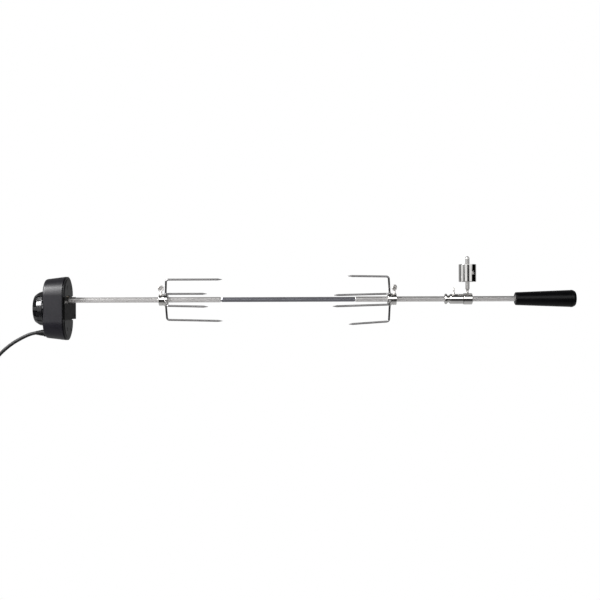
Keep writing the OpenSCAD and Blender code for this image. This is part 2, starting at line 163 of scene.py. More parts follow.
def add_cord():
    line = cord_line()
    curve = bpy.data.curves.new("power_lead", "CURVE")
    curve.dimensions = "3D"
    curve.bevel_depth = CORD_D / 2 * MM
    curve.bevel_resolution = 5
    spline = curve.splines.new("POLY")
    spline.points.add(len(line) - 1)
    for point, place in zip(spline.points, line):
        point.co = (*(place * MM), 1)
    spline.use_smooth = True
    lead = bpy.data.objects.new("power_lead", curve)
    scene.collection.objects.link(lead)
    return lead


lead = add_cord()

# ---- Materials ----

STRAIGHT = (1, 1, 1)
COLOUR_PATCHES = 45  # cycles per metre
GLOSS_PATCHES = 120
MOULD_DEPTH = 0.05  # millimetres
MARK_DEPTH = 0.02


def shader_of(name, **values):
    """A new material, and its shader with these values on its own sockets."""
    made = bpy.data.materials.new(name)
    made.use_nodes = True
    shader = made.node_tree.nodes["Principled BSDF"]
    for socket, value in values.items():
        shader.inputs[socket.replace("_", " ")].default_value = value
    return made, shader


def grain(made, scale, detail=3.0, stretch=STRAIGHT):
    """Noise in the object's own axes, in cycles per metre, drawn out along the axes with a small stretch."""
    nodes, links = made.node_tree.nodes, made.node_tree.links
    place = nodes.new("ShaderNodeTexCoord")
    mapping = nodes.new("ShaderNodeMapping")
    mapping.inputs["Scale"].default_value = stretch
    noise = nodes.new("ShaderNodeTexNoise")
    noise.inputs["Scale"].default_value = scale
    noise.inputs["Detail"].default_value = detail
    links.new(place.outputs["Object"], mapping.inputs["Vector"])
    links.new(mapping.outputs["Vector"], noise.inputs["Vector"])
    return noise.outputs["Fac"]


def cells(made, scale):
    """The rounded cells of a moulded leather grain."""
    nodes, links = made.node_tree.nodes, made.node_tree.links
    place = nodes.new("ShaderNodeTexCoord")
    voronoi = nodes.new("ShaderNodeTexVoronoi")
    voronoi.inputs["Scale"].default_value = scale
    links.new(place.outputs["Object"], voronoi.inputs["Vector"])
    return voronoi.outputs["Distance"]


def vary(made, shader, source, socket, low, high):
    """Drives a shader socket from noise, from low to high. The values are colours or numbers."""
    nodes, links = made.node_tree.nodes, made.node_tree.links
    ramp = nodes.new("ShaderNodeValToRGB")
    first, last = ramp.color_ramp.elements
    first.position, last.position = 0.25, 0.75
    colours = [(v, v, v, 1) if isinstance(v, (int, float)) else (*v, 1) for v in (low, high)]
    first.color, last.color = colours
    links.new(source, ramp.inputs["Fac"])
    links.new(ramp.outputs["Color"], shader.inputs[socket])


def emboss(made, shader, source, strength, depth_mm):
    nodes, links = made.node_tree.nodes, made.node_tree.links
    bump = nodes.new("ShaderNodeBump")
    bump.inputs["Strength"].default_value = strength
    bump.inputs["Distance"].default_value = depth_mm * MM
    links.new(source, bump.inputs["Height"])
    links.new(bump.outputs["Normal"], shader.inputs["Normal"])


def moulded(name, low, high, rough, grain_scale, strength, ior=1.5):
    """Moulded plastic or rubber: a fine cell grain, with slow changes of colour and gloss."""
    made, shader = shader_of(name, IOR=ior)
    vary(made, shader, grain(made, COLOUR_PATCHES), "Base Color", low, high)
    vary(made, shader, grain(made, GLOSS_PATCHES, 5), "Roughness", *rough)
    emboss(made, shader, cells(made, grain_scale), strength, MOULD_DEPTH)
    return made


def metal(name, low, high, rough, grain_scale, stretch, strength, spots=60):
    """Metal with tool marks drawn out along the axes that stretch keeps small."""
    made, shader = shader_of(name, Metallic=1.0)
    marks = grain(made, grain_scale, 2.0, stretch)
    vary(made, shader, grain(made, spots, 4), "Base Color", low, high)
    vary(made, shader, marks, "Roughness", *rough)
    emboss(made, shader, marks, strength, MARK_DEPTH)
    return made


ALONG_X = (0.01, 1, 1)
AROUND_X = (1, 0.01, 0.01)
AROUND_Z = (0.01, 0.01, 1)


def make_materials():
    return {
        "black_plastic": moulded("casing_plastic", (0.014, 0.013, 0.019), (0.020, 0.018, 0.026),
                                 (0.34, 0.42), 1500, 0.3, ior=1.36),
        # The cover's plastic is the casing's plastic painted darker: painted shade for the shadowed groove at
        # the cover's side.
        "cover_plastic_painted_shade": moulded("cover_plastic_painted_shade", (0.010, 0.010, 0.011), (0.015, 0.015, 0.017),
                                 (0.34, 0.42), 1500, 0.15, ior=1.3),
        "gloss_black": moulded("gloss_plastic", (0.006, 0.006, 0.008), (0.010, 0.010, 0.012),
                               (0.16, 0.24), 900, 0.02, ior=1.6),
        "bracket_black": moulded("powder_coat", (0.004, 0.004, 0.004), (0.008, 0.008, 0.008),
                                 (0.42, 0.55), 1100, 0.5, ior=1.15),
        "screw_steel": metal("screw_steel", (0.72, 0.70, 0.68), (0.82, 0.80, 0.78),
                             (0.50, 0.60), 1500, AROUND_Z, 0.1),
        "screw_black": metal("screw_black", (0.020, 0.020, 0.021), (0.035, 0.035, 0.036),
                             (0.3, 0.4), 1500, AROUND_X, 0.15),
        # Dull steel for the inner parts, painted darker than bare steel as painted shade, so that the can
        # seen through the drum's slots looks dark.
        "inner_steel": metal("inner_steel", (0.32, 0.32, 0.33), (0.44, 0.44, 0.45),
                             (0.3, 0.45), 900, STRAIGHT, 0.2),
        "brass": metal("brass", (0.60, 0.42, 0.16), (0.74, 0.55, 0.25),
                       (0.22, 0.34), 1200, AROUND_X, 0.15),
        "gear_nylon": moulded("gear_nylon", (0.70, 0.67, 0.58), (0.80, 0.77, 0.69),
                              (0.38, 0.5), 700, 0.1),
        "spit_steel": metal("spit_steel", (0.86, 0.84, 0.83), (0.94, 0.92, 0.91),
                            (0.38, 0.44), 1400, ALONG_X, 0.03, spots=25),
        # The middle length's steel is the outer lengths' steel painted darker grey: painted shade.
        "spit_steel_painted_shade": metal("spit_steel_painted_shade", (0.27, 0.27, 0.30), (0.35, 0.35, 0.39),
                           (0.34, 0.40), 1400, ALONG_X, 0.03, spots=25),
        "polished_steel": metal("polished_steel", (0.66, 0.65, 0.64), (0.76, 0.75, 0.73),
                                (0.04, 0.10), 1800, AROUND_X, 0.05),
        "polished_upright": metal("polished_upright", (0.66, 0.65, 0.64), (0.76, 0.75, 0.73),
                                  (0.04, 0.10), 1800, AROUND_Z, 0.05),
        "wire_steel": metal("wire_steel", (0.26, 0.255, 0.26), (0.36, 0.35, 0.35),
                            (0.22, 0.34), 1500, ALONG_X, 0.2),
        "handle_black": moulded("handle_plastic", (0.0025, 0.0025, 0.003), (0.005, 0.005, 0.006),
                                (0.24, 0.34), 1300, 0.05, ior=1.22),
        "cord_black": moulded("cord_rubber", (0.016, 0.016, 0.017), (0.024, 0.024, 0.025),
                              (0.42, 0.55), 1600, 0.1, ior=1.35),
    }


MATERIALS = make_materials()

# ---- Mesh helpers, in millimetres ----

MERGE_DISTANCE = 1e-4
NODE_MERGE_DISTANCE = 1e-3
SLIVER_AREA = 1e-9


def filleted(corners, closed=True, steps=4):
    """The outline's corners [a, b, fillet] with each fillet above 0 drawn as a curve."""
    outline = []
    last = len(corners) - 1
    for i, corner in enumerate(corners):
        here = Vector(corner[:2])
        fillet = corner[2] if len(corner) > 2 else 0
        if fillet == 0 or (not closed and i in (0, last)):
            outline.append(here)
            continue
        back = Vector(corners[i - 1][:2]) - here
        on = Vector(corners[(i + 1) % len(corners)][:2]) - here
        reach = min(fillet / math.tan(back.angle(on) / 2), 0.49 * back.length, 0.49 * on.length)
        start, end = here + back.normalized() * reach, here + on.normalized() * reach
        for k in range(steps + 1):
            t = k / steps
            outline.append(start * (1 - t) ** 2 + here * 2 * t * (1 - t) + end * t * t)
    return outline


def join_rings(mesh, rings, closed=False):
    """Quads between rings of the same count. closed joins the last ring to the first."""
    made = [[mesh.verts.new(p) for p in ring] for ring in rings]
    pairs = list(zip(made, made[1:])) + ([(made[-1], made[0])] if closed else [])
    count = len(rings[0])
    for low, high in pairs:
        for k in range(count):
            j = (k + 1) % count
            mesh.faces.new((low[k], low[j], high[j], high[k]))
    return made


def cap_ends(mesh, rings):
    for ring in (rings[0], rings[-1]):
        mesh.faces.new(ring)


X_AXIS = Matrix.Rotation(math.radians(90), 4, "Y")
UPRIGHT = Matrix.Identity(4)


def lathe(mesh, corners, place, sides, closed=True, radius_at=None):
    """Turns an outline of [along, radius, fillet] about the local Z axis that place carries to its line."""
    rings = []
    for point in filleted(corners, closed):
        ring = []
        for k in range(sides):
            angle = 2 * math.pi * k / sides
            radius = radius_at(point.x, point.y, angle) if radius_at else point.y
            ring.append(place @ Vector((radius * math.cos(angle), radius * math.sin(angle), point.x)))
        rings.append(ring)
    join_rings(mesh, rings, closed=closed)


def sweep(mesh, route, radii, place, sides=20):
    """A round rod along a route, with one radius for each point and both ends closed."""
    points = [Vector(p) for p in route]
    side = Vector((0, 1, 0))
    rings = []
    for i, point in enumerate(points):
        ahead = (points[min(i + 1, len(points) - 1)] - points[max(i - 1, 0)]).normalized()
        side = (side - ahead * side.dot(ahead)).normalized()
        up = ahead.cross(side)
        rings.append([place @ (point + radii[i] * (math.cos(a) * side + math.sin(a) * up))
                      for a in (2 * math.pi * k / sides for k in range(sides))])
    cap_ends(mesh, join_rings(mesh, rings))


def block(mesh, low, high, place=UPRIGHT):
    outline = ((low[0], low[1]), (high[0], low[1]), (high[0], high[1]), (low[0], high[1]))
    rings = [[place @ Vector((x, y, z)) for x, y in outline] for z in (low[2], high[2])]
    cap_ends(mesh, join_rings(mesh, rings))


def rod(mesh, start, end, radius, place, sides=48):
    """A plain round cutter or pin along local Z."""
    lathe(mesh, [(start, 0), (start, radius), (end, radius), (end, 0)], place, sides, closed=False)


def tidy(mesh):
    bmesh.ops.remove_doubles(mesh, verts=mesh.verts, dist=MERGE_DISTANCE)
    flat = [f for f in mesh.faces if f.calc_area() < SLIVER_AREA]
    bmesh.ops.delete(mesh, geom=flat, context="FACES_ONLY")
    bmesh.ops.recalc_face_normals(mesh, faces=mesh.faces)


def to_object(name, mesh):
    tidy(mesh)
    data = bpy.data.meshes.new(name)
    mesh.to_mesh(data)
    mesh.free()
    made = bpy.data.objects.new(name, data)
    scene.collection.objects.link(made)
    return made


def bake_modifiers(obj):
    bpy.context.view_layer.update()
    graph = bpy.context.evaluated_depsgraph_get()
    data = bpy.data.meshes.new_from_object(obj.evaluated_get(graph))
    obj.modifiers.clear()
    old = obj.data
    obj.data = data
    bpy.data.meshes.remove(old)


def carve(obj, cutter, how="DIFFERENCE"):
    """Cuts the shape in the bmesh cutter out of obj, or joins it on with UNION."""
    tool = to_object("cutter", cutter)
    change = obj.modifiers.new("cut", "BOOLEAN")
    change.operation = how
    change.solver = "EXACT"
    change.use_self = True
    change.object = tool
    bake_modifiers(obj)
    bpy.data.objects.remove(tool)


def drill(obj, start, end, radius, place, sides=32):
    """Cuts a round hole along the local Z axis of place."""
    hole = bmesh.new()
    rod(hole, start, end, radius, place, sides)
    carve(obj, hole)


def round_edges(obj, width, limit):
    """Rounds the edges that are sharper than limit, in degrees."""
    change = obj.modifiers.new("edges", "BEVEL")
    change.width = width
    change.segments = 2
    change.limit_method = "ANGLE"
    change.angle_limit = math.radians(limit)
    change.use_clamp_overlap = True
    bake_modifiers(obj)


def finish_piece(obj, body, material, nodes, sharp=35):
    """Scales a finished shape to metres, shades it and ties it to its body."""
    obj.data.transform(Matrix.Scale(MM, 4))
    obj.data.shade_smooth()
    obj.data.set_sharp_from_angle(angle=math.radians(sharp))
    obj.data.materials.clear()
    obj.data.materials.append(MATERIALS[material])
    normals = obj.modifiers.new("normals", "WEIGHTED_NORMAL")
    normals.keep_sharp = True
    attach(obj, body)
    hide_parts(*nodes)
    return obj


def from_node(node, body, material, edge):
    """A piece with a CAD node's own shape, with its faces joined up and its edges rounded."""
    mesh = bmesh.new()
    mesh.from_mesh(NODES[node].data)
    bmesh.ops.scale(mesh, vec=(1 / MM, 1 / MM, 1 / MM), verts=mesh.verts)
    bmesh.ops.remove_doubles(mesh, verts=mesh.verts, dist=NODE_MERGE_DISTANCE)
    bmesh.ops.dissolve_limit(mesh, angle_limit=math.radians(1), verts=mesh.verts, edges=mesh.edges)
    made = to_object(node + "_made", mesh)
    round_edges(made, edge, 40)
    finish_piece(made, body, material, [node])


# ---- Motor ----

SHELL_LOW, SHELL_HIGH = box_mm("motor_housing")
CASE_R = SHELL_HIGH.y
CASE_Z = (SHELL_LOW.z + SHELL_HIGH.z) / 2
CASE_STRAIGHT = (SHELL_HIGH.z - SHELL_LOW.z) / 2 - CASE_R
CASE_DRAFT = 5
CASE_WALL = 2.5
BACK_LIP = 9
DRUM_LOW, DRUM_HIGH = box_mm("drum_cap")
DRUM_R = DRUM_HIGH.y
SCREW_Y, SCREW_DZ = 15, 41
RECESS_R, RECESS_DEPTH = 4, 1.9
BOSS_R, SOCKET_BORE_R = 12, 10
CHANNEL_X = -3
CHANNEL_LOW, CHANNEL_HIGH = -40, 8
CHANNEL_RIBS = (-31, -24, 14, 22, 30)
RIB_W = 1.6
ARC_STEPS = 36


def at_x(y, z):
    """A line along X through a place in the YZ plane."""
    return Matrix.Translation((0, y, z)) @ X_AXIS


def backwards(x, z):
    """A line that starts there and runs away from the handle."""
    return Matrix.Translation((x, 0, z)) @ Matrix.Rotation(math.radians(-90), 4, "Y")


def case_ring(x, inset):
    """The casing's outline at one depth: a rectangle with fully rounded ends."""
    ring = []
    for lift, first in ((CASE_STRAIGHT, 0), (-CASE_STRAIGHT, 180)):
        for k in range(ARC_STEPS + 1):
            angle = math.radians(first + 180 * k / ARC_STEPS)
            radius = CASE_R - inset
            ring.append(Vector((x, radius * math.cos(angle), CASE_Z + lift + radius * math.sin(angle))))
    return ring


def case_loft(mesh, corners, steps=6):
    cap_ends(mesh, join_rings(mesh, [case_ring(p.x, p.y) for p in filleted(corners, False, steps)]))


def motor_shell():
    front, back = SHELL_HIGH.x, SHELL_LOW.x
    mesh = bmesh.new()
    case_loft(mesh, [
        (back, CASE_DRAFT + BACK_LIP, 0), (back, CASE_DRAFT, 6), (front, 0, 0.5),
        (front, CASE_WALL, 0.3), (back + CASE_WALL, CASE_DRAFT + CASE_WALL, 4),
        (back + CASE_WALL, CASE_DRAFT + BACK_LIP, 0),
    ])
    shell = to_object("motor_shell", mesh)
    cuts = bmesh.new()
    rod(cuts, back - 2, back + 4.5, DRUM_R - 4, at_x(0, CASE_Z), 96)
    rod(cuts, back - 2, back + 4.5, 4.5, at_x(0, CORD_ROUTE[0][2]), 32)
    carve(shell, cuts)
    finish_piece(shell, "motor", "black_plastic", ["motor_housing"], 30)


def face_plate():
    low, high = box_mm("face_cover")
    front, back = high.x, SHELL_HIGH.x
    mesh = bmesh.new()
    case_loft(mesh, [
        (back, 3, 0), (back, 2.4, 0), (front - 3.4, 2.2, 0.3), (front - 3.2, 0.2, 0.5),
        (front - 1.4, 0.2, 0.8), (front - 1.2, 3.6, 0.5), (front, 4.4, 0.6), (front, 6, 0),
    ], 4)
    plate = to_object("face_plate", mesh)
    boss = bmesh.new()
    rod(boss, low.x, back + 0.5, BOSS_R, at_x(0, 0))
    carve(plate, boss, "UNION")
    cuts = bmesh.new()
    block(cuts, (CHANNEL_X, -2 * CASE_R, CHANNEL_LOW), (front + 2, 2 * CASE_R, CHANNEL_HIGH))
    rod(cuts, low.x - 1, front + 2, SOCKET_BORE_R, at_x(0, 0))
    for y in (-SCREW_Y, SCREW_Y):
        for z in (-SCREW_DZ, SCREW_DZ):
            rod(cuts, front - RECESS_DEPTH, front + 2, RECESS_R, at_x(y, CASE_Z + z))
    carve(plate, cuts)
    ribs = bmesh.new()
    for y in CHANNEL_RIBS:
        block(ribs, (CHANNEL_X - 0.5, y, CHANNEL_LOW + 3), (CHANNEL_X + 0.1, y + RIB_W, CHANNEL_HIGH - 3))
    carve(plate, ribs, "UNION")
    round_edges(plate, 0.3, 40)
    # The whole cover takes the darker copy of the casing plastic, which is painted shade.
    finish_piece(plate, "motor", "cover_plastic_painted_shade", ["face_cover"], 30)


DRUM_SLOTS = 20
SLOT_W = 2.5
FACET_START, FACET_END, FACET_FADE = 3, 19, 4


def drum_radius(along, radius, angle):
    """Flattens the drum between its slots, so that each rib is a facet."""
    pitch = 2 * math.pi / DRUM_SLOTS
    share = ease(along / FACET_START) * ease((FACET_END - along) / FACET_FADE)
    off = (angle + pitch / 2) % pitch - pitch / 2
    return radius * (1 + share * (math.cos(pitch / 2) / math.cos(off) - 1))


def drum():
    length = DRUM_HIGH.x - DRUM_LOW.x
    place = backwards(DRUM_HIGH.x, CASE_Z)
    mesh = bmesh.new()
    lathe(mesh, [
        (0, DRUM_R - 3), (0, DRUM_R, 0.8), (1.6, DRUM_R, 0.6), (2.2, DRUM_R - 0.8, 0.5),
        (12, DRUM_R - 2.8, 6), (length - 0.8, DRUM_R - 9, 7), (length - 0.6, DRUM_R - 13, 2),
        (length - 1.4, DRUM_R - 15, 1.5),
        (length - 1.4, DRUM_R - 20, 2), (length, 0.3), (length - 3, 0.3),
        (length - 3.4, DRUM_R - 14, 3), (length - 7, DRUM_R - 7, 5), (12, DRUM_R - 5.6, 3),
    ], place, 200, radius_at=drum_radius)
    cap_piece = to_object("drum_cap_ribbed", mesh)
    cuts = bmesh.new()
    for i in range(DRUM_SLOTS):
        turn = Matrix.Rotation(2 * math.pi * (i + 0.5) / DRUM_SLOTS, 4, "Z")
        block(cuts, (DRUM_R - 11, -SLOT_W / 2, 2.6), (DRUM_R + 4, SLOT_W / 2, length - 5.6), place @ turn)
    carve(cap_piece, cuts)
    round_edges(cap_piece, 0.35, 50)
    finish_piece(cap_piece, "motor", "gloss_black", ["drum_cap"], 28)


def gland():
    low, high = box_mm("cord_gland")
    length = SHELL_LOW.x - low.x
    ribs = []
    for k in range(5):
        start, radius = 7 + 2.4 * k, 6.4 - 0.45 * k
        ribs += [(start, radius - 0.9, 0.2), (start + 0.3, radius, 0.3), (start + 1.5, radius - 0.1, 0.3),
                 (start + 1.8, radius - 1, 0.2)]
    mesh = bmesh.new()
    lathe(mesh, [(-5, 3.6), (-5, 4.3), (0, 4.3), (0, 7.6, 0.6), (5, 7.5, 1.2), (5.6, 6.2, 0.5), *ribs,
                 (length, 4.3, 0.4), (length, 3.6)], backwards(SHELL_LOW.x, (low.z + high.z) / 2), 40)
    piece = to_object("strain_relief", mesh)
    return finish_piece(piece, "motor", "cord_black", ["cord_gland"])


# ---- Spit ----

OUTER_TURN = 38
MIDDLE_TURN = 0
SPIT_START = box_mm("spit_rod_drive")[0].x
HEX_AF = 9.5
HEX_R = HEX_AF / math.cos(math.radians(30)) / 2
JOINT_1 = box_mm("spit_rod_middle")[0].x
JOINT_2 = box_mm("spit_rod_handle")[0].x
STUD_L = 14


def hex_outline(turn, share=1.0):
    corner = HEX_R * share
    angles = [math.radians(turn + 60 * k) for k in range(6)]
    return filleted([(corner * math.cos(a), corner * math.sin(a), 0.5) for a in angles])


def hex_length(mesh, start, end, turn):
    """A length of hexagonal bar with small rounded corners and turned, chamfered ends."""
    rings = []
    for x, share in ((start, 0.84), (start + 0.5, 0.88), (start + 1.5, 1), (end - 1.5, 1), (end - 0.5, 0.88),
                     (end, 0.84)):
        rings.append([Vector((x, p.x, p.y)) for p in hex_outline(turn, share)])
    cap_ends(mesh, join_rings(mesh, rings))


def stud(mesh, start, length):
    """The turned neck and threaded end that screws into the next length."""
    thread = [(start - 2, 0), (start - 2, 3.9), (start + 1.2, 3.9, 0.2), (start + 1.3, 2.9)]
    for k in range(int(length - 2)):
        thread += [(start + 1.6 + k, 3.0), (start + 2.1 + k, 2.6)]
    thread += [(start + length, 2.2), (start + length, 0)]
    lathe(mesh, thread, X_AXIS, 32, closed=False)


def spit():
    """Three lengths, which stop just short of their joints so that the seams show."""
    lengths = [
        ("spit_length_drive", SPIT_START, JOINT_1 - 0.4, OUTER_TURN, "spit_rod_drive"),
        ("spit_length_middle", JOINT_1 + 1.2, JOINT_2 - 0.2, MIDDLE_TURN, "spit_rod_middle"),
        ("spit_length_handle", JOINT_2 + 0.4, box_mm("handle_grip")[0].x + 14, OUTER_TURN, "spit_rod_handle"),
    ]
    for name, start, end, turn, node in lengths:
        mesh = bmesh.new()
        hex_length(mesh, start, end, turn)
        if node != "spit_rod_handle":
            stud(mesh, end, STUD_L)
        else:
            rod(mesh, end - 1, end + 40, 4, X_AXIS)
        # The middle length gets the darker copy of the same steel, which is painted shade.
        steel = "spit_steel_painted_shade" if turn == MIDDLE_TURN else "spit_steel"
        finish_piece(to_object(name, mesh), "spit", steel, [node], 20)


# ---- Forks ----

CLAMP_TURN = 15
CLAMPED = Matrix.Rotation(math.radians(CLAMP_TURN), 4, "X")
WIRE_R = 2
BEND_R = 5
ARM_FORWARD = 3
POINT_L = 9
RING_R = 12
BORE_R = 5.8
SCREW_R = 2.5
TAPPED_R = SCREW_R + 0.05
# side is the way the prongs point. In degrees: droop tilts the whole fork, long and short turn the pairs
# about the spit, skew tips the two prongs of the skewed pair unevenly, and head_turn turns the thumb screw.
FORKS = {
    "left_fork": {"x": 193, "side": 1, "droop": 0.7, "long": 0, "short": 90, "skewed": "short", "skew": 8,
                  "head_turn": 8},
    "right_fork": {"x": 642, "side": -1, "droop": -1.5, "long": 90, "short": 0, "skewed": "long", "skew": 4,
                   "head_turn": 35},
}
# Each pair's reach from the spit's middle, its length along the spit and its flare in degrees.
PRONGS = {"long": (42, 112, 0.7), "short": (47, 82, 2.5)}
COLLAR_SCREW_DX = 8.5


def prong(mesh, radius, length, flare, place):
    """One bent wire from the collar outwards and then along the spit, ground to a point."""
    tilt = math.radians(flare)
    across, run = radius - BEND_R, length - BEND_R
    route = [(0, 0, 9), (0, 0, RING_R - 0.2), (0, 0, RING_R + 0.9), (0, 0, RING_R + 2.2), (0, 0, across)]
    widths = [3.1, 3.0, 2.5, WIRE_R, WIRE_R]
    for k in range(1, 12):
        angle = math.radians(90 - flare) * k / 12
        route.append((BEND_R * (1 - math.cos(angle)), 0, across + BEND_R * math.sin(angle)))
        widths.append(WIRE_R)
    for way, width in ((0, WIRE_R), (run - POINT_L, WIRE_R), (run - POINT_L + 1, WIRE_R * 0.94),
                       (run - 1.2, WIRE_R * 0.3), (run - 0.2, WIRE_R * 0.16), (run, WIRE_R * 0.05)):
        route.append((BEND_R * (1 - math.sin(tilt)) + way * math.cos(tilt), 0,
                      across + BEND_R * math.cos(tilt) + way * math.sin(tilt)))
        widths.append(width)
    sweep(mesh, route, widths, place)


def prong_pair(fork, kind):
    facts = FORKS[fork]
    radius, length, flare = PRONGS[kind]
    mesh = bmesh.new()
    skew = facts["skew"] if facts["skewed"] == kind else 0
    for side, lean in ((0, ARM_FORWARD + skew), (180, ARM_FORWARD - skew)):
        place = (Matrix.Translation((facts["x"], 0, 0)) @ CLAMPED
                 @ Matrix.Diagonal((facts["side"], 1, 1, 1))
                 @ Matrix.Rotation(math.radians(facts["side"] * facts["droop"]), 4, "Y")
                 @ Matrix.Rotation(math.radians(facts[kind] + side), 4, "X")
                 @ Matrix.Rotation(math.radians(lean), 4, "Y"))
        prong(mesh, radius, length, flare + lean, place)
    piece = to_object(f"{fork}_{kind}_prong_wires", mesh)
    finish_piece(piece, fork, "wire_steel", [f"{fork}_{kind}_prongs"])


def fork_collar(fork):
    """Two turned rings with a groove between them."""
    facts = FORKS[fork]
    place = Matrix.Translation((facts["x"], 0, 0)) @ Matrix.Diagonal((facts["side"], 1, 1, 1)) @ X_AXIS
    mesh = bmesh.new()
    lathe(mesh, [
        (-12.5, BORE_R, 0.4), (-12.5, RING_R - 0.5, 0.8), (-5.6, RING_R - 0.5, 0.6), (-5.0, 10.6, 0.3),
        (-4.2, 10.6, 0.3), (-3.6, RING_R, 0.6), (4.2, RING_R, 0.5), (5, RING_R - 0.9, 0.4), (5, BORE_R, 0.4),
    ], place, 72)
    collar = to_object(f"{fork}_collar_turned", mesh)
    screw_x = facts["x"] - facts["side"] * COLLAR_SCREW_DX
    drill(collar, 3, 20, TAPPED_R, Matrix.Translation((screw_x, 0, 0)) @ CLAMPED)
    finish_piece(collar, fork, "polished_steel", [f"{fork}_collar"])


def thumb_screw(name, x, head, neck, turn, body, node):
    """A threaded shank with a spade head: a flat oval with a raised rim."""
    wide, high = head
    place = Matrix.Translation((x, 0, 0)) @ CLAMPED
    tip = HEX_R + 0.05
    mesh = bmesh.new()
    shank = [(tip, 0), (tip, 1.6), (tip + 0.8, SCREW_R)]
    for k in range(int(neck - tip - 2)):
        shank += [(tip + 1.3 + k, SCREW_R - 0.45), (tip + 1.8 + k, SCREW_R)]
    shank += [(neck - 1, SCREW_R, 0.3), (neck + 1.4, 1.15, 0.6), (neck + 2, 1.1), (neck + 2, 0)]
    lathe(mesh, shank, place, 32, closed=False)
    edge = 1.3
    spade = (place @ Matrix.Translation((0, 0, neck + high / 2))
             @ Matrix.Rotation(math.radians(turn), 4, "Z") @ Matrix.Rotation(math.radians(90), 4, "X")
             @ Matrix.Diagonal((wide / high, 1, 1, 1)))
    lathe(mesh, [
        (-0.8, 0), (-0.8, high * 0.26, 1.5), (-edge, high * 0.38, 0.8), (-edge, high * 0.46, 0.5),
        (-0.5, high / 2, 0.5), (0.5, high / 2, 0.5), (edge, high * 0.46, 0.5), (edge, high * 0.38, 0.8),
        (0.8, high * 0.26, 1.5), (0.8, 0),
    ], spade, 40, closed=False)
    finish_piece(to_object(name, mesh), body, "screw_steel", [node])


# ---- Bushing and counterweight ----

BUSHING_LOW, BUSHING_HIGH = box_mm("spit_bushing")
BUSHING_SCREW_X = 769


def bushing():
    start, end = BUSHING_LOW.x, BUSHING_HIGH.x
    mesh = bmesh.new()
    lathe(mesh, [
        (start, BORE_R, 0.3), (start, 9.4, 0.4), (start + 1.2, 10.4, 0.5), (start + 3.2, 10.4, 0.5),
        (start + 6.6, 6.7, 0.4), (start + 7.4, 6.7, 0.4), (start + 10.4, 9.3, 0.8), (start + 11.2, 9.8, 0.5),
        (end - 0.8, 9.8, 0.4), (end, 9.2, 0.3), (end, BORE_R, 0.3),
    ], X_AXIS, 72)
    piece = to_object("support_bushing", mesh)
    drill(piece, 3, 20, TAPPED_R, Matrix.Translation((BUSHING_SCREW_X, 0, 0)) @ CLAMPED)
    finish_piece(piece, "bushing", "polished_steel", ["spit_bushing"])


HUB_LOW, HUB_HIGH = box_mm("counterweight_hub")
HUB_R = HUB_HIGH.y
ARM_LOW, ARM_HIGH = box_mm("counterweight_arm")
ARM_X = (ARM_LOW.x + ARM_HIGH.x) / 2
ARM_R = ARM_HIGH.x - ARM_X
ARM = Matrix.Translation((ARM_X, 0, 0))
NECK_R = 2.5
NECK_ROOT_R = 2.1
WEIGHT_LOW, WEIGHT_HIGH = box_mm("counterweight")
WEIGHT_R = (WEIGHT_HIGH.x - WEIGHT_LOW.x) / 2
WEIGHT_MID = (WEIGHT_LOW.z + WEIGHT_HIGH.z) / 2
LOCK = (Matrix.Translation((ARM_X, 0, WEIGHT_MID)) @ Matrix.Rotation(math.radians(30), 4, "Z")
        @ Matrix.Rotation(math.radians(90), 4, "X"))


def hub():
    start, end = HUB_LOW.x, HUB_HIGH.x
    mesh = bmesh.new()
    lathe(mesh, [
        (start, BORE_R, 0.3), (start, HUB_R - 1, 0.4), (start + 0.8, HUB_R, 0.6), (end - 1, HUB_R, 0.7),
        (end, HUB_R - 1, 0.4), (end, BORE_R, 0.3),
    ], X_AXIS, 72)
    piece = to_object("weight_hub", mesh)
    drill(piece, 3, 20, NECK_R + 0.05, ARM)
    finish_piece(piece, "hub", "polished_steel", ["counterweight_hub"])


def arm():
    """A threaded neck, a bar and a domed tip."""
    neck, top = 18, ARM_HIGH.z
    outline = [(6, 0), (6, NECK_ROOT_R), (6.6, NECK_R)]
    for k in range(10):
        outline += [(7.1 + k, NECK_ROOT_R), (7.6 + k, NECK_R)]
    outline += [(neck, NECK_R, 0.2), (neck + 1.5, ARM_R, 0.5), (top - ARM_R, ARM_R)]
    for k in range(1, 9):
        angle = math.radians(90 * k / 8)
        outline.append((top - ARM_R * (1 - math.sin(angle)), ARM_R * math.cos(angle)))
    mesh = bmesh.new()
    lathe(mesh, outline, ARM, 48, closed=False)
    finish_piece(to_object("weight_arm", mesh), "arm", "polished_upright", ["counterweight_arm"])


def weight():
    low, high = WEIGHT_LOW.z, WEIGHT_HIGH.z
    bore = ARM_R + 0.3
    mesh = bmesh.new()
    lathe(mesh, [(low, bore, 0.4), (low, WEIGHT_R, 0.9), (high, WEIGHT_R, 0.9), (high, bore, 0.4)], ARM, 96)
    piece = to_object("weight_drum", mesh)
    drill(piece, 2, WEIGHT_R + 3, TAPPED_R, LOCK)
    drill(piece, WEIGHT_R - 2.4, WEIGHT_R + 3, 4, LOCK, 48)
    round_edges(piece, 0.25, 50)
    finish_piece(piece, "weight", "polished_upright", ["counterweight"])


def lock_screw():
    mesh = bmesh.new()
    head = WEIGHT_R - 0.55
    lathe(mesh, [(ARM_R + 0.05, 0), (ARM_R + 0.05, 2), (ARM_R + 0.6, SCREW_R), (head - 1.8, SCREW_R),
                 (head - 1.8, 3.7, 0.2), (head - 0.5, 3.7, 0.3), (head, 3.0, 0.3), (head, 0)],
          LOCK, 40, closed=False)
    piece = to_object("weight_lock_slotted", mesh)
    slot = bmesh.new()
    block(slot, (-5, -0.55, head - 1), (5, 0.55, head + 2), LOCK @ Matrix.Rotation(math.radians(35), 4, "Z"))
    carve(piece, slot)
    finish_piece(piece, "weight_lock_screw", "screw_steel", ["counterweight_screw"])


# ---- Handle ----


